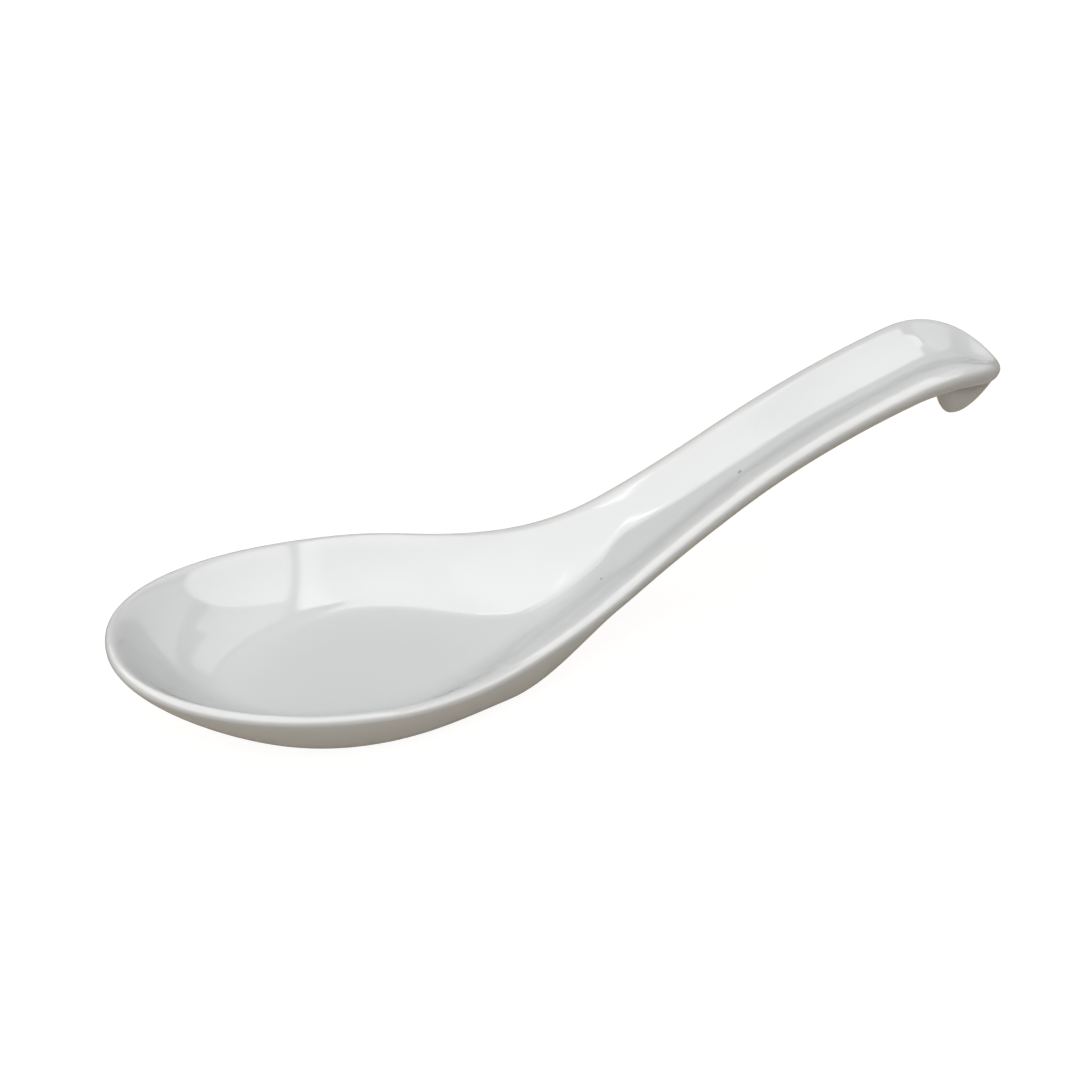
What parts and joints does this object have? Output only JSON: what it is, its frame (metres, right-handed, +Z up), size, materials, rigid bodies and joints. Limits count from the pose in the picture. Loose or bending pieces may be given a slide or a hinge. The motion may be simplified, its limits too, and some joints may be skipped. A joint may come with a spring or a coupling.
{
  "type": "chinese soup spoon",
  "caption": "Porcelain soup spoon with a flat-floored oval bowl, a rising trough handle and a hook under the handle's end.",
  "frame": {"origin": "on the table, under the middle of the spoon's overall box", "axes": "+X from the nose of the bowl to the end of the handle, +Y to the left of it, +Z up"},
  "size_m": [0.15, 0.047, 0.0503],
  "materials": {
    "glazed_porcelain": "clear gloss glaze over white porcelain",
    "bare_biscuit": "unglazed, ground flat and matte"
  },
  "bodies": {
    "root": {"bowl": "glazed_porcelain", "handle": "glazed_porcelain", "hook": "glazed_porcelain", "foot": "bare_biscuit"}
  },
  "joints": []
}
